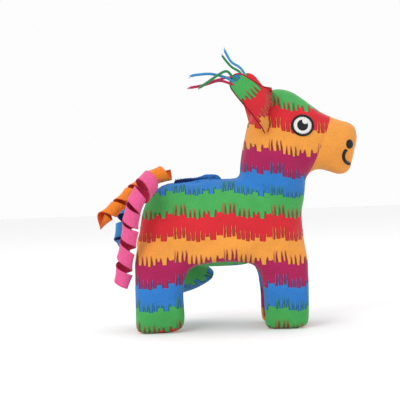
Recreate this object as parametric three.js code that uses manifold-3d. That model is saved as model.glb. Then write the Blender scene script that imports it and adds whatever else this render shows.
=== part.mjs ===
// A small stuffed donkey pinata, made the way a sewn toy is made: printed fabric panels over loose
// fill, four legs and two ears that flex at their seams, three curled ribbons for a tail, and a pocket
// in the back whose mouth hook-and-loop strips close.
// Millimetres. +X is the nose, +Y the animal's left side, +Z up. Right-side pieces are drawn and the
// left-side ones are their mirror images.
import * as THREE from 'three';
import { mergeVertices } from 'three/addons/utils/BufferGeometryUtils.js';
import Module from 'manifold-3d';

const wasm = await Module();
wasm.setup();
const { Manifold, Mesh: SolidMesh } = wasm;

// ---- Driving dimensions -------------------------------------------------------------------------

const FABRIC = 1.0; // thickness of the printed fabric
const GAP = 0.3; // air left between two pieces that touch
const HALF_GAP = GAP / 2;
const HIP = 29.5; // height of the belly, where the legs fold
const NECK = 74; // height where the head's fill meets the body's
const FAR = 200; // past everything, for cutting blocks

// How a flat outline swells into a stuffed form: its half width, and the rounding of its edges
// measured across the width (crown) and in from the outline (edge).
const TORSO = { halfWidth: 20.5, crown: 9, edge: 8, middle: 0 };
const HEAD = { halfWidth: 14, crown: 11, edge: 3.6, middle: 0 };
const LEG = { halfWidth: 7.2, crown: 4, edge: 2.6, middle: -13.2 };

const POCKET = { rear: -21, front: 0.3, halfWidth: 6.5, floor: 42, rim: 65, wall: 0.6 };
const LIP = { inner: 3.2, thickness: 0.7, foot: 60, nearTop: 66, farTop: 68.1, inset: 1.1 };
const STRIP = { inner: 2.4, thickness: 0.5, foot: 62.2, top: 65.6, inset: 2.1 };

const EYE = { x: 36.1, z: 87.6, width: 10, height: 9.4, rim: 0.85, pupil: 2.6, seam: 0.1 };
const GLINT = { x: 0.8, z: 1.5, radius: 1.35 }; // from the pupil's centre
const NOSTRIL = { x: 57.0, z: 79.0, width: 3.1, height: 3.8 };
const SMILE = { x: 57.4, z: 73.8, radius: 3.3, stroke: 1.5, from: 122, to: 272 };
const STITCHED = { lift: 0.3, thickness: 0.5 }; // embroidery over the fabric

const EAR = { x: 22.3, y: -15.6, z: 95, lean: 10.4, fold: 25, raisedLeft: 25, panel: 0.8 };
const STRING = { radius: 0.5, halfSides: 4, steps: 12 };
const RIBBON = { width: 6.35, thickness: 0.5, stepsPerTurn: 10 };
// The left hind leg is pushed out to the side. Its room in the flank is cut in stages of the swing.
const LIFTED = { x: -27, y: 6, splay: 54, slant: 26, stages: 5 };
const SOLE = 0.6; // how far a leg's round end is cut off to stand flat

const CURVE_STEPS = 2;
const CROWN_STEPS = 3;

const COLOUR = {
  green: 0x4ca555,
  red: 0xc82d37,
  orange: 0xe19646,
  magenta: 0xa52350,
  blue: 0x3278be,
  navy: 0x1d3f7a,
  pinkRibbon: 0xf05f96,
  orangeRibbon: 0xf58228,
  blueRibbon: 0x3a86cf,
  crimson: 0xa0284b,
  black: 0x101014,
  white: 0xf4f4f2,
  fill: 0xf1efe9,
};

// ---- Solids --------------------------------------------------------------------------------------

function toSolid(geometry) {
  const bare = new THREE.BufferGeometry();
  bare.setAttribute('position', geometry.getAttribute('position'));
  bare.setIndex(geometry.getIndex());
  const welded = mergeVertices(bare, 1e-4);
  return new Manifold(new SolidMesh({
    numProp: 3,
    vertProperties: new Float32Array(welded.getAttribute('position').array),
    triVerts: new Uint32Array(welded.getIndex().array),
  }));
}

function toGeometry(solid) {
  const { vertProperties, triVerts } = solid.getMesh();
  const geometry = new THREE.BufferGeometry();
  geometry.setAttribute('position', new THREE.BufferAttribute(vertProperties, 3));
  geometry.setIndex(new THREE.BufferAttribute(triVerts, 1));
  return geometry;
}

function box(low, high) {
  const size = high.map((value, axis) => value - low[axis]);
  const centre = low.map((value, axis) => value + size[axis] / 2);
  return new THREE.BoxGeometry(...size).translate(...centre);
}

const block = (low, high) => toSolid(box(low, high));

const above = (z) => block([-FAR, -FAR, z], [FAR, FAR, FAR]);
const below = (z) => block([-FAR, -FAR, -FAR], [FAR, FAR, z]);
const rightOf = (y) => block([-FAR, -FAR, -FAR], [FAR, y, FAR]);
const leftOf = (y) => block([-FAR, y, -FAR], [FAR, FAR, FAR]);

// An outline in the XZ plane, swollen to both sides. An inset makes the same form smaller all round.
function cushion(outline, form, inset = 0) {
  const flat = form.halfWidth - form.crown;
  const geometry = new THREE.ExtrudeGeometry(outline, {
    depth: 2 * flat,
    bevelThickness: form.crown - inset,
    bevelSize: form.edge,
    bevelOffset: -form.edge - inset,
    bevelSegments: CROWN_STEPS,
    curveSegments: CURVE_STEPS,
  });
  geometry.translate(0, 0, -flat);
  geometry.rotateX(Math.PI / 2);
  geometry.translate(0, form.middle, 0);
  return toSolid(geometry);
}

// An outline in the XZ plane, extruded square from one Y to another.
function slice(outline, fromY, toY, curveSegments = CURVE_STEPS) {
  const options = { depth: toY - fromY, bevelEnabled: false, curveSegments };
  const geometry = new THREE.ExtrudeGeometry(outline, options);
  geometry.rotateX(Math.PI / 2);
  geometry.translate(0, toY, 0);
  return toSolid(geometry);
}

// ---- Outlines, seen from the right side, as [x, z] ----------------------------------------------

// Straight from the first point to the second, a smooth curve through the rest, and straight back.
function outlineThrough(start, ...curve) {
  const shape = new THREE.Shape();
  shape.moveTo(...start);
  shape.lineTo(...curve[0]);
  shape.splineThru(curve.slice(1).map((point) => new THREE.Vector2(...point)));
  shape.closePath();
  return shape;
}

function ellipse(x, z, width, height) {
  return new THREE.Shape().absellipse(x, z, width / 2, height / 2, 0, 2 * Math.PI);
}

function torsoOutline() {
  return outlineThrough(
    [-39, HIP - 15], [-39, 31], [-37.6, 41], [-35.6, 52], [-31.6, 59.8], [-24, 64.4], [-12, 65.4],
    [3, 66], [16, 68], [30, 67], [37, 60], [36.2, 48], [36, 39], [36.2, HIP - 15],
  );
}

function headOutline() {
  return outlineThrough(
    [34.5, 50], [10.5, 52], [8.8, 68], [10.6, 80], [13.2, 92], [18, 100.6], [26.6, 104.5],
    [34.5, 101.9], [44, 94.4], [53.5, 90.2], [59.8, 87.4], [61.4, 80], [59, 70.5], [54.5, 66.4],
    [48, 68], [41, 67.8], [38.2, 64], [37, 58],
  );
}

function frontLegOutline() {
  return outlineThrough(
    [36.2, HIP + 12], [14.6, HIP + 12], [14.8, 26], [16.3, 18], [16.6, 9], [18.8, 1.4], [26, -SOLE],
    [33.4, 1.4], [35.9, 8], [36.1, 20],
  );
}

function hindLegOutline() {
  return outlineThrough(
    [-15, HIP + 12], [-39, HIP + 12], [-39.1, 26], [-39.2, 9], [-36.4, 1.2], [-29, -SOLE],
    [-20.6, 1.6], [-17.9, 8], [-17.8, 20], [-15.8, 26.5],
  );
}

// The ear's outline in its own plane: first back from the base seam, then up along the seam.
function earOutline() {
  const leaf = new THREE.Shape();
  leaf.moveTo(0, 8.2);
  leaf.lineTo(4.8, 8.6);
  leaf.lineTo(10.8, 10.4);
  leaf.lineTo(15.6, 12);
  leaf.quadraticCurveTo(20.6, 12.2, 20.6, 7.6);
  leaf.quadraticCurveTo(20.2, 5.2, 18.2, 3.8);
  leaf.lineTo(9.2, -3.4);
  leaf.lineTo(0, -10.2);
  leaf.closePath();
  return leaf;
}

// ---- Pieces -------------------------------------------------------------------------------------

function piece(name, shape, colour, roughness = 0.9) {
  const geometry = shape instanceof THREE.BufferGeometry ? shape : toGeometry(shape);
  const material = new THREE.MeshStandardMaterial({ color: colour, roughness, metalness: 0 });
  const mesh = new THREE.Mesh(geometry, material);
  mesh.name = name;
  return mesh;
}

// The same right-side piece twice: as it is, and mirrored to the left.
function pair(name, shape, colour, roughness) {
  const right = piece(`right_${name}`, shape, colour, roughness);
  const left = piece(`left_${name}`, shape, colour, roughness);
  left.scale.y = -1;
  return [right, left];
}

// The stuffed form of torso and head together, open at the hips where the legs join on.
function bodyForm(inset, bottom) {
  const torso = cushion(torsoOutline(), TORSO, inset);
  const head = cushion(headOutline(), HEAD, inset);
  return torso.add(head).intersect(above(bottom));
}

function pocketHollow(inset, floor, top) {
  const side = POCKET.halfWidth - inset;
  return block([POCKET.rear + inset, -side, floor], [POCKET.front - inset, side, top]);
}

// The left hind leg turns about a slanted fold where its inner side meets the belly.
function liftedHip(splay = LIFTED.splay) {
  const slant = THREE.MathUtils.degToRad(LIFTED.slant);
  const hip = new THREE.Group();
  hip.position.set(LIFTED.x, LIFTED.y, HIP - GAP);
  const fold = new THREE.Vector3(Math.cos(slant), -Math.sin(slant), 0);
  hip.quaternion.setFromAxisAngle(fold, THREE.MathUtils.degToRad(splay));
  return hip;
}

// The room that the leg takes out of the flank on its way up, with some more to spare all round.
function hipRoom(spare) {
  const low = [-60, LIFTED.y - GAP - spare, 0];
  const high = [-14 + spare, 40, HIP + spare];
  const rooms = Array.from({ length: LIFTED.stages }, (_, stage) => {
    const hip = liftedHip((LIFTED.splay * (stage + 1)) / LIFTED.stages);
    hip.updateMatrix();
    const room = box(low, high).translate(...hip.position.clone().negate().toArray());
    return toSolid(room.applyMatrix4(hip.matrix));
  });
  return rooms.reduce((whole, room) => whole.add(room));
}

// Each side is one printed panel from rump to muzzle. A flat panel closes the belly, seamed along
// its middle.
function bodyPanels() {
  const gusset = HIP + FABRIC;
  const hollow = bodyForm(FABRIC, gusset);
  const mouth = pocketHollow(0, POCKET.floor, FAR);
  const shell = bodyForm(0, HIP).subtract(hollow).subtract(mouth).subtract(hipRoom(0));
  const halves = { right: rightOf(-HALF_GAP), left: leftOf(HALF_GAP) };
  return Object.entries(halves).flatMap(([side, half]) => {
    const panels = shell.intersect(half);
    return [
      piece(`${side}_side_panel`, panels.intersect(above(gusset)), COLOUR.blue),
      piece(`${side}_belly_panel`, panels.intersect(below(gusset - GAP)), COLOUR.green),
    ];
  });
}

function fill() {
  const whole = bodyForm(FABRIC + GAP, HIP + FABRIC + GAP).subtract(hipRoom(FABRIC));
  const recess = pocketHollow(0, POCKET.floor, FAR);
  return [
    piece('head_stuffing', whole.intersect(above(NECK + HALF_GAP)), COLOUR.fill),
    piece('body_stuffing', whole.intersect(below(NECK - HALF_GAP)).subtract(recess), COLOUR.fill),
  ];
}

function pocketLining() {
  const outside = pocketHollow(GAP, POCKET.floor + GAP, POCKET.rim);
  const inside = pocketHollow(GAP + POCKET.wall, POCKET.floor + GAP + POCKET.wall, FAR);
  return piece('pocket_lining', outside.subtract(inside), COLOUR.navy);
}

// A flat band along the pocket's mouth, on the right side of the middle.
function mouthBand({ inner, thickness, foot, inset }, top) {
  const low = [POCKET.rear + inset, -inner - thickness, foot];
  const high = [POCKET.front - inset, -inner, top];
  return block(low, high);
}

function pocketMouth() {
  const leftLip = piece('left_pocket_lip', mouthBand(LIP, LIP.farTop), COLOUR.blue);
  const leftStrip = piece('loop_strip', mouthBand(STRIP, STRIP.top), COLOUR.navy);
  leftLip.scale.y = -1;
  leftStrip.scale.y = -1;
  return [
    piece('right_pocket_lip', mouthBand(LIP, LIP.nearTop), COLOUR.blue),
    piece('hook_strip', mouthBand(STRIP, STRIP.top), COLOUR.navy),
    leftLip,
    leftStrip,
  ];
}

// Embroidery: a thin layer that follows the head's surface wherever the stencil falls on it.
function embroidery(stencil) {
  const outside = cushion(headOutline(), HEAD, -STITCHED.lift - STITCHED.thickness);
  const inside = cushion(headOutline(), HEAD, -STITCHED.lift);
  return outside.subtract(inside).intersect(stencil);
}

function stencil(shape) {
  return slice(shape, -FAR, -GAP, 10);
}

function eye() {
  const { x, z, width, height, rim, pupil, seam } = EYE;
  const disc = (trim) => stencil(ellipse(x, z, width - 2 * trim, height - 2 * trim));
  const round = (radius) => stencil(ellipse(x, z, 2 * radius, 2 * radius));
  const glint = (radius) => stencil(ellipse(x + GLINT.x, z + GLINT.z, 2 * radius, 2 * radius));
  const ring = disc(0).subtract(disc(rim));
  const pupilHole = round(pupil + seam).subtract(glint(GLINT.radius - seam));
  const white = disc(rim + seam).subtract(pupilHole);
  const dark = round(pupil).subtract(glint(GLINT.radius));
  return [
    ...pair('eye_ring', embroidery(ring), COLOUR.black, 0.6),
    ...pair('eye_white', embroidery(white), COLOUR.white, 0.6),
    ...pair('pupil', embroidery(dark), COLOUR.black, 0.6),
  ];
}

function smileOutline() {
  const [from, to] = [SMILE.from, SMILE.to].map(THREE.MathUtils.degToRad);
  const half = SMILE.stroke / 2;
  const stroke = new THREE.Shape();
  stroke.absarc(SMILE.x, SMILE.z, SMILE.radius + half, from, to, false);
  stroke.absarc(SMILE.x, SMILE.z, SMILE.radius - half, to, from, true);
  return stroke;
}

function muzzleStitching() {
  const nostril = stencil(ellipse(NOSTRIL.x, NOSTRIL.z, NOSTRIL.width, NOSTRIL.height));
  return [
    ...pair('nostril', embroidery(nostril), COLOUR.black, 0.6),
    ...pair('smile', embroidery(stencil(smileOutline())), COLOUR.black, 0.6),
  ];
}

// ---- Legs ---------------------------------------------------------------------------------------

// One leg on the right side: the side panel's outer half, the inner half, and the fill.
function legPieces(name, outline) {
  const standing = above(0);
  const form = (inset, top) => {
    return cushion(outline, LEG, inset).intersect(below(top)).intersect(standing);
  };
  const top = HIP - GAP;
  const shell = form(0, top).subtract(form(FABRIC, top - FABRIC));
  const leg = new THREE.Group();
  leg.add(
    piece(`${name}_outer`, shell.intersect(rightOf(LEG.middle - HALF_GAP)), COLOUR.magenta),
    piece(`${name}_inner`, shell.intersect(leftOf(LEG.middle + HALF_GAP)), COLOUR.orange),
    piece(`${name}_stuffing`, form(FABRIC + GAP, top - FABRIC - GAP), COLOUR.fill),
  );
  return leg;
}

function liftToTheSide(leg) {
  const hip = liftedHip();
  leg.position.copy(hip.position).negate();
  hip.add(leg);
  return hip;
}

function legs() {
  const rightFront = legPieces('right_front_leg', frontLegOutline());
  const rightHind = legPieces('right_hind_leg', hindLegOutline());
  const leftFront = legPieces('left_front_leg', frontLegOutline());
  const leftHind = legPieces('left_hind_leg', hindLegOutline());
  leftFront.scale.y = -1;
  leftHind.scale.y = -1;
  return [rightFront, rightHind, leftFront, liftToTheSide(leftHind)];
}

// ---- Ears and their strings ---------------------------------------------------------------------

// A string is a round cord along a smooth curve, in the ear's own plane [p, out, q].
function string(name, points, colour) {
  const path = new THREE.CatmullRomCurve3(points.map((point) => new THREE.Vector3(...point)));
  const section = new THREE.Shape().absarc(0, 0, STRING.radius, 0, 2 * Math.PI);
  const options = {
    extrudePath: path,
    steps: STRING.steps,
    curveSegments: STRING.halfSides,
    bevelEnabled: false,
  };
  return piece(name, toSolid(new THREE.ExtrudeGeometry(section, options)), colour);
}

// Three strings from the tip of each ear, as [p, out, q] in millimetres.
const NEAR_STRINGS = {
  green: [[21.4, 0.2, 10.6], [23.6, 0.4, 12.2], [27.4, 0.8, 10], [32.4, 1, 5.6], [35.2, 1.2, 3.2]],
  blue: [[21.7, 0, 9], [24, -0.7, 9.8], [30, -1.4, 10], [35.9, -1.8, 8.6], [38.6, -2, 7.6]],
  red: [[21.7, 0.2, 7.2], [25.9, -0.6, 7.8], [31.7, -0.8, 5.2], [35.1, -1, 3.8], [38.7, -1.2, 2.6]],
};
const FAR_STRINGS = {
  green: [[21.6, 0, 9.4], [24, 0.8, 10.8], [29, 1.6, 11], [34, 1.8, 12.4], [36.6, 2, 13.4]],
  blue: [[21.2, 0, 11], [24, -0.8, 12.4], [29, -1.2, 12.6], [33.4, -1.4, 14.6], [35.4, -1.5, 15.8]],
  red: [[21.5, 0, 7.6], [23.6, -0.8, 7], [26.4, -1.6, 5], [30, -2.2, 1.4], [32.6, -2.4, -1]],
};

// An ear standing off the head: two panels sewn back to back, and the strings sewn into the tip.
function ear(side, strings, raised) {
  const outline = earOutline();
  const inner = HALF_GAP;
  const outer = inner + EAR.panel;
  const parts = new THREE.Group();
  parts.add(
    piece(`${side}_ear_front`, slice(outline, inner, outer), COLOUR.green),
    piece(`${side}_ear_back`, slice(outline, -outer, -inner), COLOUR.red),
    string(`${side}_ear_green_string`, strings.green, COLOUR.green),
    string(`${side}_ear_blue_string`, strings.blue, COLOUR.blue),
    string(`${side}_ear_crimson_string`, strings.red, COLOUR.crimson),
  );
  parts.rotation.z = Math.PI + THREE.MathUtils.degToRad(EAR.fold);
  const tilted = new THREE.Group();
  tilted.rotation.y = THREE.MathUtils.degToRad(EAR.lean + raised);
  tilted.position.set(EAR.x, EAR.y, EAR.z);
  tilted.add(parts);
  const whole = new THREE.Group();
  whole.add(tilted);
  return whole;
}

function ears() {
  const right = ear('right', NEAR_STRINGS, 0);
  const left = ear('left', FAR_STRINGS, EAR.raisedLeft);
  left.scale.y = -1;
  return [right, left];
}

// ---- Curled ribbons -----------------------------------------------------------------------------

// A flat band wound round a curved axis. Its face looks outwards and its width runs along the axis.
function curledRibbon({ axis, turns, radius, startAngle }) {
  const path = new THREE.CatmullRomCurve3(axis.map((point) => new THREE.Vector3(...point)));
  const steps = Math.round(Math.abs(turns) * RIBBON.stepsPerTurn);
  const centre = (t) => {
    const along = path.getTangent(t);
    const across = new THREE.Vector3(0, 1, 0).cross(along).normalize();
    const aside = along.clone().cross(across);
    const angle = THREE.MathUtils.degToRad(startAngle + t * turns * 360);
    const outward = across.multiplyScalar(Math.cos(angle)).addScaledVector(aside, Math.sin(angle));
    const point = path.getPoint(t).addScaledVector(outward, radius(t));
    return { point, outward };
  };
  const corners = [];
  for (let step = 0; step <= steps; step += 1) {
    const t = step / steps;
    const { point, outward } = centre(t);
    const behind = centre(Math.max(t - 0.01, 0)).point;
    const ahead = centre(Math.min(t + 0.01, 1)).point;
    const widthwise = ahead.sub(behind).cross(outward).setLength(Math.sign(turns));
    for (const [side, face] of [[-1, -1], [1, -1], [1, 1], [-1, 1]]) {
      const corner = point.clone().addScaledVector(widthwise, side * RIBBON.width / 2);
      corners.push(corner.addScaledVector(outward, face * RIBBON.thickness / 2));
    }
  }
  return bandThrough(corners, steps);
}

// A closed skin over successive sections of four corners each.
function bandThrough(corners, steps) {
  const triangles = [];
  const quad = (a, b, c, d) => triangles.push(a, b, c, a, c, d);
  for (let step = 0; step < steps; step += 1) {
    for (let corner = 0; corner < 4; corner += 1) {
      const next = (corner + 1) % 4;
      quad(4 * step + corner, 4 * step + next, 4 * step + 4 + next, 4 * step + 4 + corner);
    }
  }
  quad(3, 2, 1, 0);
  quad(4 * steps, 4 * steps + 1, 4 * steps + 2, 4 * steps + 3);
  const geometry = new THREE.BufferGeometry().setFromPoints(corners);
  geometry.setIndex(triangles);
  const solid = toSolid(geometry);
  return solid.volume() > 0 ? solid : toSolid(geometry.setIndex(triangles.reverse()));
}

const bump = (t, at, spread) => Math.exp(-(((t - at) / spread) ** 2));

// Turns below zero wind the other way round.
const RIBBONS = {
  pink: {
    axis: [[-29.4, -12.2, 67], [-33.4, -17.8, 62.6], [-37.2, -19.8, 56.4], [-39.3, -18.6, 49.6],
      [-40.6, -15.8, 42], [-42.8, -14.4, 32], [-44.2, -13.4, 23.2]],
    turns: -6,
    radius: (t) => 3.3 + 1.6 * bump(t, 0.13, 0.1) - 1.4 * bump(t, 0, 0.05),
    startAngle: 200,
    colour: COLOUR.pinkRibbon,
  },
  orange: {
    axis: [[-24.4, 0, 69.4], [-31.4, -1, 67.2], [-39.2, -3.4, 61.6], [-46.4, -6, 55],
      [-53.4, -8.6, 49.4]],
    turns: 4.5,
    radius: (t) => 2.7 + 0.9 * bump(t, 0, 0.2),
    startAngle: 70,
    colour: COLOUR.orangeRibbon,
  },
  blue: {
    axis: [[-31.6, 8, 67], [-38, 8, 61.4], [-42.4, 8, 53], [-44.6, 8, 44], [-45.4, 8, 37]],
    turns: 3.6,
    radius: () => 3.4,
    startAngle: 74,
    colour: COLOUR.blueRibbon,
  },
};

function ribbons() {
  return Object.entries(RIBBONS).map(([name, ribbon]) => {
    return piece(`${name}_ribbon`, curledRibbon(ribbon), ribbon.colour, 0.6);
  });
}

// ---- The whole toy ------------------------------------------------------------------------------

// Standing on the floor, with the middle of its footprint at the origin.
function standOnOrigin(toy) {
  toy.updateMatrixWorld(true);
  const box = new THREE.Box3().setFromObject(toy, true);
  const centre = box.getCenter(new THREE.Vector3());
  toy.position.set(-centre.x, -centre.y, -box.min.z);
  const placed = new THREE.Group();
  placed.name = 'donkey_pinata';
  placed.add(toy);
  return placed;
}

function donkey() {
  const toy = new THREE.Group();
  toy.add(
    ...bodyPanels(),
    ...fill(),
    pocketLining(),
    ...pocketMouth(),
    ...eye(),
    ...muzzleStitching(),
    ...legs(),
    ...ears(),
    ...ribbons(),
  );
  return standOnOrigin(toy);
}

export default donkey();
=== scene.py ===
"""A small stuffed donkey pinata: the printed skin, embroidery, strings and ribbons of the toy.

Shapes are drawn in millimetres, in the drawing's own frame (+X nose, +Y the animal's left side, +Z
up, floor at 0), and moved into the shared frame in metres when a piece is made.
"""

import math

import bpy
import numpy as np
from mathutils import Matrix, Vector, noise
from mathutils.bvhtree import BVHTree
from mathutils.kdtree import KDTree


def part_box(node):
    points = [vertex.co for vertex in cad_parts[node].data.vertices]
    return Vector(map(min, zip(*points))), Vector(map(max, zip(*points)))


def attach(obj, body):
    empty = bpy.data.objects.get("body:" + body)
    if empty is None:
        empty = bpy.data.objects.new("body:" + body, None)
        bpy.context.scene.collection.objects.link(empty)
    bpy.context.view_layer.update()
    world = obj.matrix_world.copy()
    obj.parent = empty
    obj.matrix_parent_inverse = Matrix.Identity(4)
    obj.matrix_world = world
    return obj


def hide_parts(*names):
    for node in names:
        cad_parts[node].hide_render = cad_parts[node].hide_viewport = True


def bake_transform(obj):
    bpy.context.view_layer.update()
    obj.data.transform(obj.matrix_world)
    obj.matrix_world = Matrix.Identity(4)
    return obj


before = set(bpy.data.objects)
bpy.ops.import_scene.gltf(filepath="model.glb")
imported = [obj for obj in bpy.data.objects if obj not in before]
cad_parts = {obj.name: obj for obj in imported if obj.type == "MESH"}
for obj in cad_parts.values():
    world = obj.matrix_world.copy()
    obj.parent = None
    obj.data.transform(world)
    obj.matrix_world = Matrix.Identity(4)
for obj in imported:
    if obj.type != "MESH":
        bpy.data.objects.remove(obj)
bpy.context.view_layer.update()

# ---- The shared frame ---------------------------------------------------------------------------

MM = 0.001
EYE = (36.1, 87.6)  # the eye's centre, x and z, which ties the drawing to the CAD pieces


def middle(node):
    low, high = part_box(node)
    return (Vector(low) + Vector(high)) / 2


EYES = middle("right_eye_ring"), middle("left_eye_ring")
SHIFT = Vector((EYES[0].x - EYE[0] * MM, (EYES[0].y + EYES[1].y) / 2, 0))


def placed(point):
    """A drawing point, in millimetres, as a point of the shared frame in metres."""
    return Vector(point) * MM + SHIFT


# ---- Small mathematics --------------------------------------------------------------------------


def smoothstep(low, high, value):
    t = np.clip((np.asarray(value, float) - low) / (high - low), 0, 1)
    return t * t * (3 - 2 * t)


def spline(points, per_span, closed=False):
    """A Catmull-Rom curve through the points, sampled evenly in each span."""
    p = np.asarray(points, float)
    count = len(p)
    spans = count if closed else count - 1
    result = []
    for i in range(spans):
        around = [i - 1, i, i + 1, i + 2]
        around = [k % count if closed else min(max(k, 0), count - 1) for k in around]
        a, b, c, d = p[around]
        for step in range(per_span):
            t = step / per_span
            result.append(
                0.5 * (2 * b + (c - a) * t + (2 * a - 5 * b + 4 * c - d) * t**2
                       + (3 * b - 3 * c + d - a) * t**3)
            )
    if not closed:
        result.append(p[-1])
    return np.array(result)


def turned(points, pivot, axis, degrees):
    """Points turned about a line, each by its own angle."""
    p = np.asarray(points, float) - pivot
    a = unit(np.asarray(axis, float))
    angle = np.radians(degrees)[:, None]
    along = (p @ a)[:, None] * a
    return pivot + p * np.cos(angle) + np.cross(a, p) * np.sin(angle) + along * (1 - np.cos(angle))


def unit(vectors):
    return vectors / np.linalg.norm(vectors, axis=-1, keepdims=True)


def lengths_along(path):
    """How far along the path each of its points lies."""
    return np.concatenate([[0], np.cumsum(np.linalg.norm(np.diff(path, axis=0), axis=1))])


def search_tree(points):
    """A tree that finds the nearest of the points."""
    tree = KDTree(len(points))
    for i, point in enumerate(points):
        tree.insert(point, i)
    tree.balance()
    return tree


# ---- Meshes -------------------------------------------------------------------------------------


def strips(rows, sides, closed=True):
    """Faces between each row of points and the next, closed round or left open."""
    return [
        [row * sides + i, row * sides + (i + 1) % sides, (row + 1) * sides + (i + 1) % sides,
         (row + 1) * sides + i]
        for row in range(rows - 1)
        for i in range(sides if closed else sides - 1)
    ]


def turned_over(face):
    """The face seen from its other side, from the same first corner."""
    return face[:1] + face[:0:-1]


def tube_faces(rows, sides, flip=False):
    """The faces of a closed tube: strips round it and a cap at each end."""
    last = (rows - 1) * sides
    faces = strips(rows, sides) + [list(range(sides))[::-1], [last + k for k in range(sides)]]
    return [face[::-1] for face in faces] if flip else faces


def joined(shapes):
    """Several shapes, each as points and faces, as one."""
    points, faces = [], []
    for shape_points, shape_faces in shapes:
        start = len(points)
        points += [tuple(p) for p in shape_points]
        faces += [[start + i for i in face] for face in shape_faces]
    return points, faces


def mesh_object(name, points, faces, material=None, smooth=True):
    """A mesh piece from drawing points, in millimetres."""
    mesh = bpy.data.meshes.new(name)
    mesh.from_pydata([placed(p) for p in points], [], [list(map(int, f)) for f in faces])
    mesh.validate()
    obj = bpy.data.objects.new(name, mesh)
    bpy.context.scene.collection.objects.link(obj)
    if material:
        mesh.materials.append(material)
    mesh.polygons.foreach_set("use_smooth", [smooth] * len(mesh.polygons))
    return obj


def coordinates(obj):
    """The object's vertices as drawing points."""
    flat = np.empty(len(obj.data.vertices) * 3)
    obj.data.vertices.foreach_get("co", flat)
    return (flat.reshape(-1, 3) - np.array(SHIFT)) / MM


def set_coordinates(obj, points):
    flat = (np.asarray(points) * MM + np.array(SHIFT)).ravel()
    obj.data.vertices.foreach_set("co", flat)
    obj.data.update()


def applied(obj, modifier_type, **settings):
    """The object with one modifier applied."""
    modifier = obj.modifiers.new(modifier_type, modifier_type)
    for key, value in settings.items():
        setattr(modifier, key, value)
    graph = bpy.context.evaluated_depsgraph_get()
    mesh = bpy.data.meshes.new_from_object(obj.evaluated_get(graph))
    obj.modifiers.clear()
    old = obj.data
    obj.data = mesh
    bpy.data.meshes.remove(old)
    return obj


def set_uv(obj, values, name="print"):
    """values holds one (u, v) for each face corner."""
    layer = obj.data.uv_layers.new(name=name)
    layer.data.foreach_set("uv", np.asarray(values, np.float32).ravel())


def corner_vertices(obj):
    index = np.empty(len(obj.data.loops), int)
    obj.data.loops.foreach_get("vertex_index", index)
    return index


def set_attribute(obj, name, values):
    attribute = obj.data.attributes.new(name, "FLOAT", "POINT")
    attribute.data.foreach_set("value", np.asarray(values, np.float32))


# ---- Node trees ---------------------------------------------------------------------------------


class Nodes:
    """Short ways to add and join shader nodes."""

    def __init__(self, tree):
        self.tree = tree

    def add(self, kind, **settings):
        node = self.tree.nodes.new(kind)
        for key, value in settings.items():
            setattr(node, key, value)
        return node

    def feed(self, socket, value):
        if isinstance(value, bpy.types.NodeSocket):
            self.tree.links.new(value, socket)
        else:
            socket.default_value = value

    def math(self, operation, *values):
        node = self.add("ShaderNodeMath", operation=operation)
        for socket, value in zip(node.inputs, values):
            self.feed(socket, value)
        return node.outputs[0]

    def mix(self, factor, a, b, blend="MIX"):
        node = self.add("ShaderNodeMix", data_type="RGBA", blend_type=blend)
        self.feed(node.inputs[0], factor)
        self.feed(node.inputs[6], a)
        self.feed(node.inputs[7], b)
        return node.outputs[2]

    def range(self, value, from_low, from_high, to_low=0.0, to_high=1.0):
        node = self.add("ShaderNodeMapRange")
        for socket, given in zip(node.inputs, (value, from_low, from_high, to_low, to_high)):
            self.feed(socket, given)
        return node.outputs[0]

    def noise(self, vector, scale, detail=2.0, roughness=0.5):
        node = self.add("ShaderNodeTexNoise")
        self.feed(node.inputs["Vector"], vector)
        node.inputs["Scale"].default_value = scale
        node.inputs["Detail"].default_value = detail
        node.inputs["Roughness"].default_value = roughness
        return node.outputs["Fac"]

    def bump(self, height, distance, strength=1.0, normal=None):
        node = self.add("ShaderNodeBump")
        self.feed(node.inputs["Height"], height)
        node.inputs["Distance"].default_value = distance
        node.inputs["Strength"].default_value = strength
        if normal:
            self.feed(node.inputs["Normal"], normal)
        return node.outputs["Normal"]

    def brightened(self, colour, value):
        node = self.add("ShaderNodeHueSaturation")
        self.feed(node.inputs["Color"], colour)
        self.feed(node.inputs["Value"], value)
        return node.outputs[0]

    def uv(self, name):
        return self.add("ShaderNodeUVMap", uv_map=name).outputs[0]

    def attribute(self, name):
        return self.add("ShaderNodeAttribute", attribute_name=name).outputs["Fac"]

    def parts(self, vector):
        """The first two numbers of a vector."""
        split = self.add("ShaderNodeSeparateXYZ")
        self.feed(split.inputs[0], vector)
        return split.outputs[0], split.outputs[1]


def new_material(name, roughness=0.9, sheen=0.0, sheen_roughness=0.5):
    material = bpy.data.materials.new(name)
    material.use_nodes = True
    nodes = Nodes(material.node_tree)
    shader = material.node_tree.nodes["Principled BSDF"]
    shader.inputs["Roughness"].default_value = roughness
    shader.inputs["Sheen Weight"].default_value = sheen
    shader.inputs["Sheen Roughness"].default_value = sheen_roughness
    shader.inputs["Specular IOR Level"].default_value = 0.25
    return material, nodes, shader


def srgb(red, green, blue):
    """A colour as it looks on screen, 0 to 255, as the linear value that shaders take."""
    values = [c / 255 for c in (red, green, blue)]
    linear = [c / 12.92 if c <= 0.04045 else ((c + 0.055) / 1.055) ** 2.4 for c in values]
    return (*linear, 1.0)


def object_position(nodes):
    return nodes.add("ShaderNodeTexCoord").outputs["Object"]


def darker(colour, share):
    return tuple(c * share for c in colour[:3]) + (1,)


def give_grain(nodes, shader, grain, colour, low, depth, strength):
    """Colour and relief from a grain of 0 to 1, darker where it lies deep."""
    nodes.feed(shader.inputs["Base Color"], nodes.mix(grain, darker(colour, low), colour))
    nodes.feed(shader.inputs["Normal"], nodes.bump(grain, depth, strength))


# ---- The printed fabric -------------------------------------------------------------------------

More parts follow.
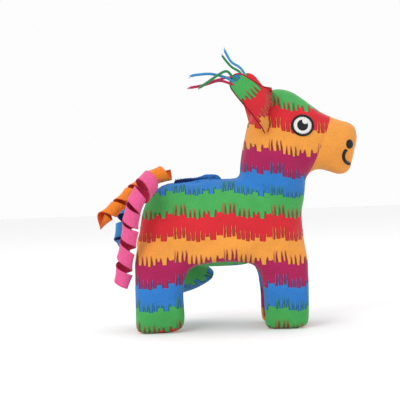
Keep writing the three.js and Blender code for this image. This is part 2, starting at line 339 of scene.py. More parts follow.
BAND = 9.9  # height of one printed band
GREEN, BLUE, MAGENTA = srgb(66, 158, 80), srgb(44, 116, 188), srgb(158, 30, 80)
ORANGE, RED = srgb(222, 146, 62), srgb(200, 38, 48)
BAND_COLOURS = [GREEN, BLUE, MAGENTA, ORANGE, RED]  # from a sole upwards

FRINGE_REPEAT = 22.3
# Along one repeat of the fringe: where each upward spike stands, how tall it is, and how far the
# strip after it hangs down.
FRINGE = [
    (1.1, 5.1, -0.4), (3.4, 5.0, -0.1), (5.1, 5.1, -1.4), (7.5, 2.8, -1.5), (9.5, 2.9, -2.0),
    (11.7, 3.1, -1.4), (13.9, 1.8, 0.0), (15.9, 1.8, -1.4), (19.1, 2.2, 0.5), (21.5, 0.9, -0.6),
]


def fringe_outline():
    """The fringe as a zigzag: position along the repeat, and height."""
    points = []
    before = FRINGE[-1][2]
    for at, height, after in FRINGE:
        half = 0.3 + 0.03 * height
        foot = max(before, after)
        points += [(at - half - 0.12, before), (at - half, foot + 0.1), (at, height)]
        points += [(at + half, foot + 0.1), (at + half + 0.12, after)]
        before = after
    first, last = points[0], points[-1]
    return [(0.0, first[1])] + points + [(FRINGE_REPEAT, last[1])]


LOWEST, HIGHEST = -4.0, 6.0  # heights that the fringe curve spans
PRINT_WANDER = 0.9  # how far the print's edges wander sideways
LINE, LINE_SHADE = 0.26, (0.42, 0.36, 0.36, 1)  # the dark lines between strips: half width, shade
SEAM_GROOVE = 1.1  # half the width of the groove that a seam draws in the pile


def fringe_group():
    """Node group: u and v in millimetres to the band's number from 0 to 4."""
    tree = bpy.data.node_groups.new("fringe", "ShaderNodeTree")
    for name in ("u", "v"):
        tree.interface.new_socket(name, in_out="INPUT", socket_type="NodeSocketFloat")
    tree.interface.new_socket("band", in_out="OUTPUT", socket_type="NodeSocketFloat")
    nodes = Nodes(tree)
    inside, outside = nodes.add("NodeGroupInput"), nodes.add("NodeGroupOutput")
    u, v = inside.outputs["u"], inside.outputs["v"]
    nearest = nodes.math("ROUND", nodes.math("DIVIDE", v, BAND))
    height = nodes.math("SUBTRACT", v, nodes.math("MULTIPLY", nearest, BAND))
    along = nodes.math("FRACT", nodes.math("DIVIDE", u, FRINGE_REPEAT))
    curve = nodes.add("ShaderNodeFloatCurve")
    line = curve.mapping.curves[0]
    for at, level in fringe_outline():
        x, y = at / FRINGE_REPEAT, (level - LOWEST) / (HIGHEST - LOWEST)
        point = line.points.new(min(max(x, 0), 1), y)
        point.handle_type = "VECTOR"
    line.points.remove(line.points[0])
    line.points.remove(line.points[-1])
    curve.mapping.update()
    nodes.feed(curve.inputs["Value"], along)
    level = nodes.range(curve.outputs[0], 0, 1, LOWEST, HIGHEST)
    over = nodes.math("GREATER_THAN", height, level)
    number = nodes.math("ADD", nodes.math("SUBTRACT", nearest, 1.0), over)
    nodes.feed(outside.inputs[0], nodes.math("FLOORED_MODULO", number, 5.0))
    return tree


def band_colour(nodes, band):
    ramp = nodes.add("ShaderNodeValToRGB")
    ramp.color_ramp.interpolation = "CONSTANT"
    elements = ramp.color_ramp.elements
    while len(elements) < len(BAND_COLOURS):
        elements.new(0.5)
    for i, colour in enumerate(BAND_COLOURS):
        elements[i].position = max(0.0, (i - 0.5) / 5)
        elements[i].color = colour
    nodes.feed(ramp.inputs[0], nodes.math("DIVIDE", band, 5.0))
    return ramp.outputs[0]


def printed_fabric(name="printed_fabric", muzzle=True):
    """Matt plush printed with fringed bands. UV map "print" holds millimetres on the cloth."""
    material, nodes, shader = new_material(name, roughness=0.92, sheen=0.12, sheen_roughness=0.45)
    group = bpy.data.node_groups.get("fringe") or fringe_group()
    position = object_position(nodes)
    printed_u, v = nodes.parts(nodes.uv("print"))
    wander = nodes.math("SUBTRACT", nodes.noise(position, 260, 1.0), 0.5)
    u = nodes.math("ADD", printed_u, nodes.math("MULTIPLY", wander, PRINT_WANDER))

    def band_at(offset):
        node = nodes.add("ShaderNodeGroup", node_tree=group)
        nodes.feed(node.inputs["u"], nodes.math("ADD", u, offset))
        nodes.feed(node.inputs["v"], v)
        return node.outputs["band"]

    here, before, after = band_at(0.0), band_at(-LINE), band_at(LINE)
    differ = nodes.math("ABSOLUTE", nodes.math("SUBTRACT", before, after))
    edge = nodes.math("GREATER_THAN", differ, 0.5)
    ink = nodes.math("MULTIPLY", edge, 0.9)
    colour = nodes.mix(ink, band_colour(nodes, here), LINE_SHADE, "MULTIPLY")
    if muzzle:
        colour = nodes.mix(nodes.range(nodes.attribute("muzzle"), -0.1, 0.1), colour, ORANGE)
    speckle = nodes.range(nodes.noise(position, 1500, 2.0), 0.3, 0.7, 0.93, 1.07)
    cloud = nodes.range(nodes.noise(position, 110, 2.0), 0.3, 0.7, 0.94, 1.05)
    tone = nodes.brightened(colour, nodes.math("MULTIPLY", speckle, cloud))
    nodes.feed(shader.inputs["Base Color"], tone)
    nap = nodes.bump(nodes.noise(position, 2600, 3.0, 0.65), 0.00012, 0.45)
    if muzzle:
        groove = nodes.range(nodes.attribute("seam"), 0.0, SEAM_GROOVE)
        nap = nodes.bump(groove, 0.00035, 0.8, nap)
    nodes.feed(shader.inputs["Normal"], nap)
    return material


# ---- The silhouette -----------------------------------------------------------------------------

# Seen from the right side, as (x, z), from the rump over the back, head and chest and round both
# near legs.
RUMP_AND_BACK = [
    (-38.9, 31), (-38.3, 36), (-37.1, 42.3), (-36.2, 48), (-35, 53), (-32.8, 58), (-29.3, 61.9),
    (-24.5, 64.5), (-18, 65.3), (-9, 65.7), (0, 66), (5, 66), (7.6, 66.4), (8.5, 67.8),
]
NECK_AND_HEAD = [
    (8.9, 72), (10, 78.4), (11.1, 83), (12.4, 88.2), (14.2, 94), (16.6, 99.2), (19.8, 102.6),
    (23.4, 104.5), (27, 105), (30.6, 104.4), (34, 102.9), (37.6, 100.4), (42.4, 96.5),
    (46.2, 93.7), (50.2, 91.7), (54, 90.2), (57.4, 89.2), (60, 87.6), (61.2, 85), (61.3, 81),
    (60.1, 76.4), (58.8, 71.4), (57.6, 68), (55.2, 66.2), (52, 66.1), (48.6, 67.3),
    (45, 68.4), (42, 68.2), (39.6, 67), (38.1, 64.8),
]
CHEST = [(37.6, 62), (37.4, 59.6), (36.7, 55), (35.6, 49), (36, 39.6), (36.4, 28)]
FRONT_LEG = [
    (36.3, 15), (36.1, 5.4), (35.4, 1.8), (33, 0.2), (29.4, -0.2), (26.3, -0.2), (20.4, -0.1),
    (17.5, 0.4), (16.6, 2.8), (16.5, 7.4), (16.5, 13.6), (16.1, 19.4), (15.2, 24), (13, 27.4),
]
BELLY = [(9.6, 28.8), (3.8, 29.5), (-1.5, 29.6), (-8.2, 29.1), (-12.6, 28.2)]
HIND_LEG = [
    (-15.2, 26.4), (-16.9, 23.4), (-17.7, 20), (-18, 15), (-17.8, 8.4), (-18, 4.4), (-19.4, 1.6),
    (-22.6, 0.2), (-27.4, -0.2), (-34, -0.2), (-37.8, 0.2), (-39.2, 1.8), (-39.4, 5.4), (-39.2, 13.4),
    (-39, 24.5),
]
OUTLINE = RUMP_AND_BACK + NECK_AND_HEAD + CHEST + FRONT_LEG + BELLY + HIND_LEG

LEG_MIDDLE = 13.2  # from the toy's middle to a leg's middle
BELLY_SEAM = 14.0  # from the toy's middle to the seam along the belly
CUT = 26.4  # height where a leg's skin is parted from the body's
LIFT_PIVOT = np.array((-27.0, 6.0, 29.2))
LIFT_AXIS = (math.cos(math.radians(26)), -math.sin(math.radians(26)), 0.0)
LIFT_ANGLE = 54.0
FOOT_FORWARD = 5.0  # how far the soft lifted leg bends forward at its foot


def seam_depth(x, z):
    """How far from the toy's middle the side panel's edge runs."""
    gusset = LEG_MIDDLE * (1 - smoothstep(27, 42, z))
    belly = (BELLY_SEAM - LEG_MIDDLE) * (1 - smoothstep(10, 15, np.abs(x)))
    return gusset + belly * (1 - smoothstep(29, 33, z))


def inside(outline, x, z):
    """Whether each point lies inside the outline, by counting crossings."""
    result = np.zeros(x.shape, bool)
    following = np.roll(outline, -1, axis=0)
    for (x0, z0), (x1, z1) in zip(outline, following):
        crosses = (z0 > z) != (z1 > z)
        if z0 != z1:
            result ^= crosses & (x < x0 + (z - z0) * (x1 - x0) / (z1 - z0))
    return result


def relaxed(field, fixed, source, rounds):
    """Solves for a smooth field that keeps its fixed values and swells by the source."""
    for _ in range(rounds):
        around = np.zeros_like(field)
        around[1:-1, 1:-1] = (
            field[2:, 1:-1] + field[:-2, 1:-1] + field[1:-1, 2:] + field[1:-1, :-2]
        ) / 4
        field = np.where(fixed, field, around + source / 4)
    return field


def half_body(step):
    """The toy's right half as a closed mesh: the stuffed side panel and the inside of the legs.

    The side swells like cloth under pressure: it solves the Poisson equation over the outline.
    """
    outline = spline(OUTLINE, 5, closed=True)
    x = np.arange(outline[:, 0].min() - step, outline[:, 0].max() + 2 * step, step)
    z = np.arange(-2 * step, outline[:, 1].max() + 2 * step, step)
    grid_x, grid_z = np.meshgrid(x, z, indexing="ij")
    within = inside(outline, grid_x, grid_z)
    swell = relaxed(np.zeros(grid_x.shape), ~within, step**2, rounds=2400)
    seam = relaxed(seam_depth(grid_x, grid_z), ~within, 0.0, rounds=900)
    plump = 0.70 + 0.22 * smoothstep(58, 78, grid_z)
    rise = plump * np.sqrt(2 * np.maximum(swell, 0))
    outer = -(seam + rise)
    inner = np.minimum(-seam + 0.97 * rise, 0.8)
    surround = np.lib.stride_tricks.sliding_window_view(np.pad(within, 1), (3, 3))
    border = within & ~surround.all(axis=(2, 3))
    return joined_sheets(outline, grid_x, grid_z, within, border, outer, inner)


def joined_sheets(outline, grid_x, grid_z, within, border, outer, inner):
    """Two height fields that share their border, which is pulled out onto the outline."""
    tree = search_tree([(x, 0, z) for x, z in outline])
    points, faces, shared = [], [], {}
    for cell in map(tuple, np.argwhere(border)):
        nearest, _, _ = tree.find((grid_x[cell], 0, grid_z[cell]))
        shared[cell] = len(points)
        points.append((nearest.x, -float(seam_depth(nearest.x, nearest.z)), nearest.z))
    for field, flip in ((outer, False), (inner, True)):
        index = np.full(within.shape, -1)
        for cell in map(tuple, np.argwhere(within)):
            index[cell] = shared.get(cell, len(points))
            if cell not in shared:
                points.append((grid_x[cell], field[cell], grid_z[cell]))
        corners = np.stack([index[:-1, :-1], index[1:, :-1], index[1:, 1:], index[:-1, 1:]], -1)
        quads = corners[(corners >= 0).all(axis=-1)]
        faces += (quads[:, ::-1] if flip else quads).tolist()
    return np.array(points), faces


def superellipsoid(centre, radii, power, rings=18, sides=28):
    """A rounded block: power 2 is an ellipsoid, and more is squarer."""
    points = []

    def rounded(value):
        return math.copysign(abs(value) ** (2 / power), value)

    for ring in range(rings + 1):
        tilt = math.pi * (ring / rings - 0.5)
        for side in range(sides):
            turn = 2 * math.pi * side / sides
            direction = (
                rounded(math.cos(tilt)) * rounded(math.cos(turn)),
                rounded(math.cos(tilt)) * rounded(math.sin(turn)),
                rounded(math.sin(tilt)),
            )
            points.append([c + r * d for c, r, d in zip(centre, radii, direction)])
    return points, strips(rings + 1, sides)


# Stuffing that closes the gap between the two sides: under the belly, in the rump and the chest.
FILLERS = [((-1, 0, 39), (17, 13.4, 11.6), 4), ((-27, 0, 38), (11.3, 12, 9.5), 2),
           ((25.6, 0, 38), (10, 12, 9.5), 2)]

# Dents in the stuffed sides: a line of (x, z) points, its width and its depth.
CREASES = [
    ([(37, 60.5), (31, 57.5), (25, 57), (19, 59.5)], 2.2, 0.9),
    ([(10, 66), (13.5, 61), (15.5, 54)], 2.6, 0.8),
    ([(-33, 56), (-29, 50), (-23, 46.5)], 2.6, 0.6),
    ([(-38, 42), (-31, 41), (-25, 43.5)], 2.2, 0.5),
    ([(-15, 29), (-12, 34), (-6, 38)], 2.4, 0.6),
    ([(12, 29), (15, 34), (22, 37)], 2.4, 0.6),
    ([(38.6, 67), (35.6, 71), (34.6, 77)], 2.0, 0.7),
    ([(-37, 26), (-30, 23.4), (-20, 24.6)], 2.4, 0.5),
    ([(35, 24), (28, 22), (19, 23)], 2.4, 0.45),
]
MUZZLE_SEAM = [(39.5, 67.5), (45.2, 81.3), (51.0, 95.3)]  # where the orange muzzle begins
MUZZLE_SLOPE = 0.4135  # how far forward that seam runs for each millimetre up
MUZZLE_LOWEST = 64.5
MUZZLE_TUCK, MUZZLE_TUCK_WIDTH = 0.45, 1.1
LUMPS = 0.75  # how far the lumps of stuffing stand out
DENT, RIDGE = 1.35, 0.35  # depth of a dent and height of the ridge beside it, for each crease's depth
RIDGE_AWAY = 2.2  # how many widths from the dent the ridge stands


def distance_to_line(x, z, line):
    """Distance from each (x, z) to a line of points."""
    best = np.full(len(x), 1e9)
    for (x0, z0), (x1, z1) in zip(line, line[1:]):
        dx, dz = x1 - x0, z1 - z0
        t = np.clip(((x - x0) * dx + (z - z0) * dz) / (dx * dx + dz * dz), 0, 1)
        best = np.minimum(best, np.hypot(x - x0 - t * dx, z - z0 - t * dz))
    return best


def creased(points):
    """The sides with their dents, soft lumps of stuffing, and a tight seam round the muzzle."""
    p = points.copy()
    x, y, z = p.T
    facing = smoothstep(2, 8, np.abs(y))
    inward = np.zeros(len(p))
    for line, width, depth in CREASES:
        away = distance_to_line(x, z, spline(line, 6))
        inward += DENT * depth * np.exp(-((away / width) ** 2))
        inward -= RIDGE * depth * np.exp(-(((away - RIDGE_AWAY * width) / width) ** 2))
    seam = distance_to_line(x, z, MUZZLE_SEAM)
    inward += MUZZLE_TUCK * np.exp(-((seam / MUZZLE_TUCK_WIDTH) ** 2))
    lumps = np.array([noise.noise(Vector(q) * 0.085) + 0.5 * noise.noise(Vector(q) * 0.21) for q in p])
    inward -= LUMPS * lumps
    p[:, 1] -= np.sign(y) * facing * inward
    return p


def seam_distance(points):
    """Distance from each point to the nearest seam of the skin."""
    outline = spline(OUTLINE, 14, closed=True)
    tree = search_tree([(x, side * float(seam_depth(x, z)), z) for x, z in outline for side in (-1, 1)])
    to_panel = np.array([tree.find(q)[2] for q in points])
    muzzle = distance_to_line(points[:, 0], points[:, 2], MUZZLE_SEAM)
    return np.minimum(to_panel, np.where(points[:, 2] > 64, muzzle, 99))


# ---- Where the print lies -----------------------------------------------------------------------


REPEAT_ON_TOY, REPEAT_START = 21.3, 21.1  # a repeat's length, and how far behind x = 0 one starts
INNER_STRETCH, INNER_START = 1.3, 4


def side_print(x, z):
    """The cloth of a side panel: bands run level on the body and rise towards the muzzle."""
    front = smoothstep(5, 20, x)
    head = smoothstep(52, 62, z) * smoothstep(8, 18, x)
    rise = -0.9 + 1.6 * front + head * (1.4 + 0.14 * (x - 22))
    return np.stack([(x + REPEAT_START) * FRINGE_REPEAT / REPEAT_ON_TOY, z + rise - 0.5], -1)


def inner_print(x, y, z):
    """The cloth between the legs, which is cut the other way up."""
    lifted = (x < -10) & (y > 1)
    v = np.where(lifted, 49.2 + 0.5 * (27.5 - z), 36.5 - z)
    return np.stack([x * INNER_STRETCH + INNER_START, v], -1)


def print_uv(obj, flat):
    """UV coordinates, in millimetres on the cloth, from where each corner lay before any bend."""
    loops = corner_vertices(obj)
    face_of_loop = np.repeat(np.arange(len(obj.data.polygons)), [len(f.vertices) for f in obj.data.polygons])
    centres = np.array([flat[list(f.vertices)].mean(axis=0) for f in obj.data.polygons])
    x, y, z = centres.T
    between = (np.abs(y) < seam_depth(x, z)) & (z < 42)
    corner = flat[loops]
    side = side_print(corner[:, 0], corner[:, 2])
    inner = inner_print(*corner.T)
    set_uv(obj, np.where(between[face_of_loop, None], inner, side))


# ---- The skin -----------------------------------------------------------------------------------

POCKET = {"rear": -21.0, "front": 0.3, "half": 4.4}


def lifted(points):
    """The left hind leg's skin turned up and out to the side, easing into the flank."""
    x, y, z = points.T
    amount = 1 - smoothstep(24, 37, z)
    amount = amount * smoothstep(0.5, 6, y) * (1 - smoothstep(-14.5, -8, x))
    corner = 2.4 * amount * (1 - smoothstep(2, 10, z)) * smoothstep(-27, -19, x)
    squared = points + corner[:, None] * (1, 0, 0)
    result = turned(squared, LIFT_PIVOT, LIFT_AXIS, LIFT_ANGLE * amount)
    result[:, 0] += FOOT_FORWARD * amount * (1 - smoothstep(6, 26, z))
    return result


def stuffed_skin():
    """The whole skin as one smooth mesh before it is parted, with where its points lay."""
    points, faces = half_body(step=0.9)
    parts = [(points, faces), (points * (1, -1, 1), [f[::-1] for f in faces])]
    parts += [superellipsoid(*filler) for filler in FILLERS]
    skin = mesh_object("skin", *joined(parts))
    applied(skin, "REMESH", mode="VOXEL", voxel_size=0.85 * MM, use_smooth_shade=True)
    applied(skin, "SMOOTH", factor=0.5, iterations=3)
    points = creased(coordinates(skin))
    points[:, 2] = np.maximum(points[:, 2], 0)
    set_coordinates(skin, points)
    return skin, points


def open_pocket(points, faces):
    """Drops the faces over the pocket's mouth and straightens the edge that is left."""
    x, y, z = points.T
    over = (np.abs(y) < POCKET["half"]) & (x > POCKET["rear"]) & (x < POCKET["front"]) & (z > 55)
    kept = [face for face in faces if not over[face].all()]
    rim = over & np.isin(np.arange(len(points)), np.unique(np.concatenate(kept)))
    moved = points.copy()
    for i in np.flatnonzero(rim):
        to_side = POCKET["half"] - abs(moved[i, 1])
        to_end = min(moved[i, 0] - POCKET["rear"], POCKET["front"] - moved[i, 0])
        if to_side < to_end:
            moved[i, 1] = math.copysign(POCKET["half"], moved[i, 1])
        else:
            near_rear = moved[i, 0] - POCKET["rear"] < POCKET["front"] - moved[i, 0]
            moved[i, 0] = POCKET["rear"] if near_rear else POCKET["front"]
    return moved, kept


def ahead_of_muzzle_seam(x, z):
    """How far in front of the muzzle's seam each point lies: well behind it on the body."""
    (seam_x, seam_z), *_ = MUZZLE_SEAM
    return np.where(z > MUZZLE_LOWEST, x - (seam_x + MUZZLE_SLOPE * (z - seam_z)), -9)


def part_of_skin(name, points, flat, faces, normals, seam, material):
    """One piece of the skin, shaded so that no line shows where it meets the next."""
    used = np.unique(np.concatenate(faces))
    renumber = np.full(len(points), -1)
    renumber[used] = np.arange(len(used))
    piece = mesh_object(name, points[used], [renumber[face] for face in faces], material)
    print_uv(piece, flat[used])
    set_attribute(piece, "seam", seam[used])
    x, _, z = flat[used].T
    set_attribute(piece, "muzzle", ahead_of_muzzle_seam(x, z))
    piece.data.normals_split_custom_set_from_vertices([tuple(n) for n in normals[used]])
    return piece


LEGS = {
    "right_front_leg": (1, -1), "right_hind_leg": (-1, -1), "left_front_leg": (1, 1),
    "left_hind_leg": (-1, 1),
}
FLEX = 12.5  # a length of leg below the cut, from the hip down


LEG_MIDDLE_X = {1: 26.5, -1: -28.0}  # of the front legs and the hind legs


def hang_leg(leg, name, front, left):
    """Fixes a leg's skin in place and hides the CAD pieces that it stands for."""
    middle_x, middle_y = LEG_MIDDLE_X[front], left * LEG_MIDDLE
    ends = np.array([(middle_x, middle_y, CUT), (middle_x, middle_y, CUT - FLEX)])
    if name == "left_hind_leg":
        ends = turned(ends, LIFT_PIVOT, LIFT_AXIS, np.array([LIFT_ANGLE, LIFT_ANGLE]))
    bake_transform(leg)
    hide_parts(f"{name}_outer", f"{name}_inner", f"{name}_stuffing")


def make_skin():
    """The printed skin: one piece for the body and head, and one for each leg."""
    cloth = printed_fabric()
    skin, flat = stuffed_skin()
    faces = [list(face.vertices) for face in skin.data.polygons]
    flat, faces = open_pocket(flat, faces)
    points = lifted(flat)
    set_coordinates(skin, points)
    normals = np.empty(len(points) * 3)
    skin.data.vertices.foreach_get("normal", normals)
    normals = normals.reshape(-1, 3)
    seam = seam_distance(flat)
    centres = np.array([flat[face].mean(axis=0) for face in faces])
    low = centres[:, 2] < CUT

    def cut(name, chosen):
        own = [face for face, mine in zip(faces, chosen) if mine]
        return part_of_skin(name, points, flat, own, normals, seam, cloth)

    torso = cut("body_skin", ~low)
    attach(torso, "torso")
    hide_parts("right_side_panel", "left_side_panel", "right_belly_panel",
                "left_belly_panel", "head_stuffing", "body_stuffing")
    for name, (front, left) in LEGS.items():
        leg = cut(f"{name}_skin", low & (centres[:, 0] * front > 0) & (centres[:, 1] * left > 0))
        hang_leg(leg, name, front, left)
    bpy.data.objects.remove(skin)
    return BVHTree.FromObject(torso, bpy.context.evaluated_depsgraph_get())


# ---- Threads, embroidery ------------------------------------------------------------------------


def thread(name, colour, across=0.35):
    """Satin stitch: rows of shiny thread side by side, from UV map "stitch" in millimetres."""
    material, nodes, shader = new_material(name, roughness=0.55, sheen=0.25, sheen_roughness=0.3)
    wave = nodes.add("ShaderNodeTexWave", wave_type="BANDS", bands_direction="X")
    nodes.feed(wave.inputs["Vector"], nodes.uv("stitch"))
    wave.inputs["Scale"].default_value = 0.31 / across
    wave.inputs["Distortion"].default_value = 0.8
    wave.inputs["Detail Scale"].default_value = 2.0
    give_grain(nodes, shader, wave.outputs["Fac"], colour, 0.72, 0.00012, 0.8)
    return material


def side_hit(ground, side, x, z):
    """Where a line from one side meets the skin, and the skin's normal there, or None twice."""
    hit, normal, _, _ = ground.ray_cast(placed((x, side * 60, z)), Vector((0, -side, 0)))
    return hit, normal


def sewn_patch(name, ground, side, grid, heights, material, stitches):
    """Embroidery that follows the skin. grid holds (x, z) places, heights how proud each stands."""
    rows, columns = heights.shape
    points = []
    for row in range(rows):
        for column in range(columns):
            x, z = grid[row, column]
            hit, normal = side_hit(ground, side, x, z)
            if hit is None:
                hit, normal, _, _ = ground.find_nearest(placed((x, 0, z)))
            local = (np.array(hit) - np.array(SHIFT)) / MM
            points.append(local + np.array(normal) * heights[row, column])
    faces = [face if side < 0 else face[::-1] for face in strips(rows, columns, closed=False)]
    piece = mesh_object(name, points, faces, material)
    set_uv(piece, stitches.reshape(-1, 2)[corner_vertices(piece)], "stitch")
    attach(piece, "torso")
    return piece


def oval(centre, width, height, inner, rings, sides=72):
    """Places on an oval or, where inner isn't 0, on an oval ring, and how far out each lies."""
    turn = np.linspace(0, 2 * np.pi, sides + 1)
    out = np.linspace(inner, 1, rings)
    x = centre[0] + np.outer(out, np.cos(turn)) * width / 2
    z = centre[1] + np.outer(out, np.sin(turn)) * height / 2
    return np.stack([x, z], -1), out, turn


def mound(out, lift, low=0.0):
    """Height over a strip of stitches: full in the middle and sunk in at both edges."""
    t = (out - out[0]) / (out[-1] - out[0])
    return lift * np.sqrt(np.clip(1 - (2 * t - 1) ** 4, 0, 1)) + low


SIDES = {"right": -1, "left": 1}
EYE_AT = np.array(EYE)
NOSTRIL_AT = np.array((57.0, 79.0))


def embroidered_oval(name, node, ground, side, centre, size, lift, material, inner=0.0):
    """A filled oval of stitches, or a ring where inner is more than 0."""
    grid, out, turn = oval(centre, *size, inner, 10)
    if inner:
        profile = mound(out, lift, -0.05)
        stitch = np.stack(np.broadcast_arrays(turn[None, :] * size[0] / 2, out[:, None]), -1)
    else:
        profile = lift - (lift + 0.05) * out**7
        stitch = grid - centre
    heights = np.repeat(profile[:, None], len(turn), 1)
    patch = sewn_patch(name, ground, side, grid, heights, material, stitch)
    if node:
        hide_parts(node)


def make_faces(ground):
    """The embroidered eyes, nostrils and smiles."""
    black = thread("black_thread", srgb(22, 22, 26))
    white = thread("white_thread", srgb(246, 246, 244), across=0.3)
    for word, side in SIDES.items():
        def sew(name, node, centre, size, lift, material, inner=0.0):
            node = node and f"{word}_{node}"
            embroidered_oval(f"{word}_{name}", node, ground, side, centre, size, lift, material, inner)

        sew("eye_ring_stitches", "eye_ring", EYE_AT, (10.2, 9.6), 0.6, black, inner=0.78)
        sew("eye_white_stitches", "eye_white", EYE_AT, (8.6, 8.1), 0.4, white)
        sew("pupil_stitches", "pupil", EYE_AT - (0.1, 0), (5.6, 5.6), 0.65, black)
        sew("eye_glint_stitches", None, EYE_AT + (0.9, 1.55), (2.8, 2.8), 0.85, white)
        sew("nostril_stitches", "nostril", NOSTRIL_AT, (3.4, 4.2), 0.55, black)
        make_smile(word, side, ground, black)


SMILE = {"centre": (57.4, 73.8), "radius": 3.3, "stroke": 1.55, "start": 122, "end": 272}


def make_smile(word, side, ground, black):
    """A curved stroke of stitches with rounded ends."""
    steps = 44
    turn = np.radians(np.linspace(SMILE["start"], SMILE["end"], steps))
    across = np.linspace(-0.5, 0.5, 7)
    ends = np.sqrt(np.clip(1 - np.abs(np.linspace(-1, 1, steps)) ** 24, 0.02, 1))
    radius = SMILE["radius"] + across[:, None] * SMILE["stroke"] * ends[None, :]
    x = SMILE["centre"][0] + radius * np.cos(turn)
    z = SMILE["centre"][1] + radius * np.sin(turn)
    heights = np.repeat(mound(across, 0.55, -0.05)[:, None], len(turn), 1)
    stitch = np.stack(np.broadcast_arrays(turn[None, :] * SMILE["radius"], across[:, None]), -1)
    grid = np.stack([x, z], -1)
    smile = sewn_patch(f"{word}_smile_stitches", ground, side, grid[::-1], heights, black, stitch)
    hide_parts(f"{word}_smile")


# ---- Ears and strings ---------------------------------------------------------------------------

EAR_BASE = np.array((22.3, -15.6, 95.0))
EAR_FOLD = 25.0
EAR_LEAN = {"right": 10.4, "left": 35.4}
EAR_OUTLINE = [
    (-0.6, 8.0), (4.8, 8.6), (10.8, 10.4), (15.6, 12), (18.8, 11.6), (20.6, 9.4), (20.6, 6.4),
    (18.2, 3.8), (14, 0.4), (9.2, -3.4), (4.4, -7.6), (0.9, -10.3), (0.2, -6), (0.2, 1),
]
EAR_AXIS = np.array((0.70, 0.64))
EAR_ACROSS = np.array((0.58, -0.77))
EAR_ROOT = 4.5  # distance from the seam over which the ear leaves the head
EAR_CENTRE = np.array((9.8, 3.4))
EAR_HALF_THICKNESS = 1.25
EAR_BACK_RIM = 0.6  # how far the back panel's rim shows past the front's
# On each panel: the print's scale and start along the bands, then its scale and start across them.
EAR_PRINT = {"front": (1.1, 8, 1.0, 38.9), "back": (1.1, 3, 0.42, 40.6)}


def on_ear(side, points):
    """Points [p, out, q] of an ear's own plane, in the drawing. p is back from the seam."""
    p, out, q = np.asarray(points, float).T
    fold, lean = math.radians(180 + EAR_FOLD), math.radians(EAR_LEAN[side])
    x = p * math.cos(fold) - out * math.sin(fold)
    y = p * math.sin(fold) + out * math.cos(fold)
    turned_points = [x * math.cos(lean) + q * math.sin(lean), y, q * math.cos(lean) - x * math.sin(lean)]
    result = np.stack(turned_points, -1) + EAR_BASE
    return result * (1, -SIDES[side], 1)


def ear_bend(p, q):
    """How far the ear's middle stands out: pinched into a pleat at the base, curled at the rim."""
    pleat = 0.7 * np.exp(-((p / 5) ** 2)) * np.cos((q - 2.5) * 0.7)
    curl = 0.012 * (q - 2 - 0.55 * p) ** 2
    return pleat + curl - 0.3


def rooted(side, points, ground):
    """The ear's points, with its base seam drawn in to lie on the head."""
    p = np.asarray(points, float)[:, 0]
    world = on_ear(side, points)
    for i in np.flatnonzero(p < EAR_ROOT):
        x, y, z = world[i]
        hit, _ = side_hit(ground, SIDES[side], x, z)
        if hit is None:
            continue
        free = smoothstep(-0.5, EAR_ROOT, p[i])
        seam_y = (hit.y - SHIFT.y) / MM
        thick = (y - on_ear(side, [(p[i], 0, points[i][2])])[0, 1]) * 0.5
        world[i, 1] = seam_y + thick + (y - seam_y - thick) * free
    return world


def edge_normals(outline):
    """Which way is outwards at each point of a closed outline that runs clockwise."""
    along = np.roll(outline, -1, 0) - np.roll(outline, 1, 0)
    return unit(np.stack([-along[:, 1], along[:, 0]], -1))


def ear_panel(rim, outward, rings=14):
    """One panel of an ear, domed from its centre to its rim, with its places on the flat cloth."""
    centre = EAR_CENTRE
    flat = [centre]
    points = [(centre[0], ear_bend(*centre) + outward * EAR_HALF_THICKNESS, centre[1])]
    for ring in range(1, rings + 1):
        share = ring / rings
        thick = EAR_HALF_THICKNESS * math.sqrt(max(0.0, 1 - share**2.6))
        for q in centre + (rim - centre) * share:
            flat.append(q)
            points.append((q[0], ear_bend(*q) + outward * thick, q[1]))
    count = len(rim)
    faces = [[0, 1 + i, 1 + (i + 1) % count] for i in range(count)]
    faces += [[1 + corner for corner in turned_over(face)] for face in strips(rings, count)]
    return points, faces, np.array(flat)


def make_ear(side, cloth, ground):
    """An ear's front and back panels, which bend over the first 5 mm from their seam."""
    outline = spline(EAR_OUTLINE, 5, closed=True)
    for face, outward in (("front", 1), ("back", -1)):
        rim = outline + (0 if face == "front" else EAR_BACK_RIM) * edge_normals(outline)
        points, faces, flat = ear_panel(rim, outward)
        order = 1 if outward * -SIDES[side] > 0 else -1
        faces = [f[::order] for f in faces]
        ear = mesh_object(f"{side}_ear_{face}_cloth", rooted(side, points, ground), faces, cloth)
        scale_along, start_along, scale_up, start_up = EAR_PRINT[face]
        values = [flat @ EAR_ACROSS * scale_along + start_along, flat @ EAR_AXIS * scale_up + start_up]
        set_uv(ear, np.stack(values, -1)[corner_vertices(ear)])
        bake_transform(ear)
        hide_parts(f"{side}_ear_{face}")


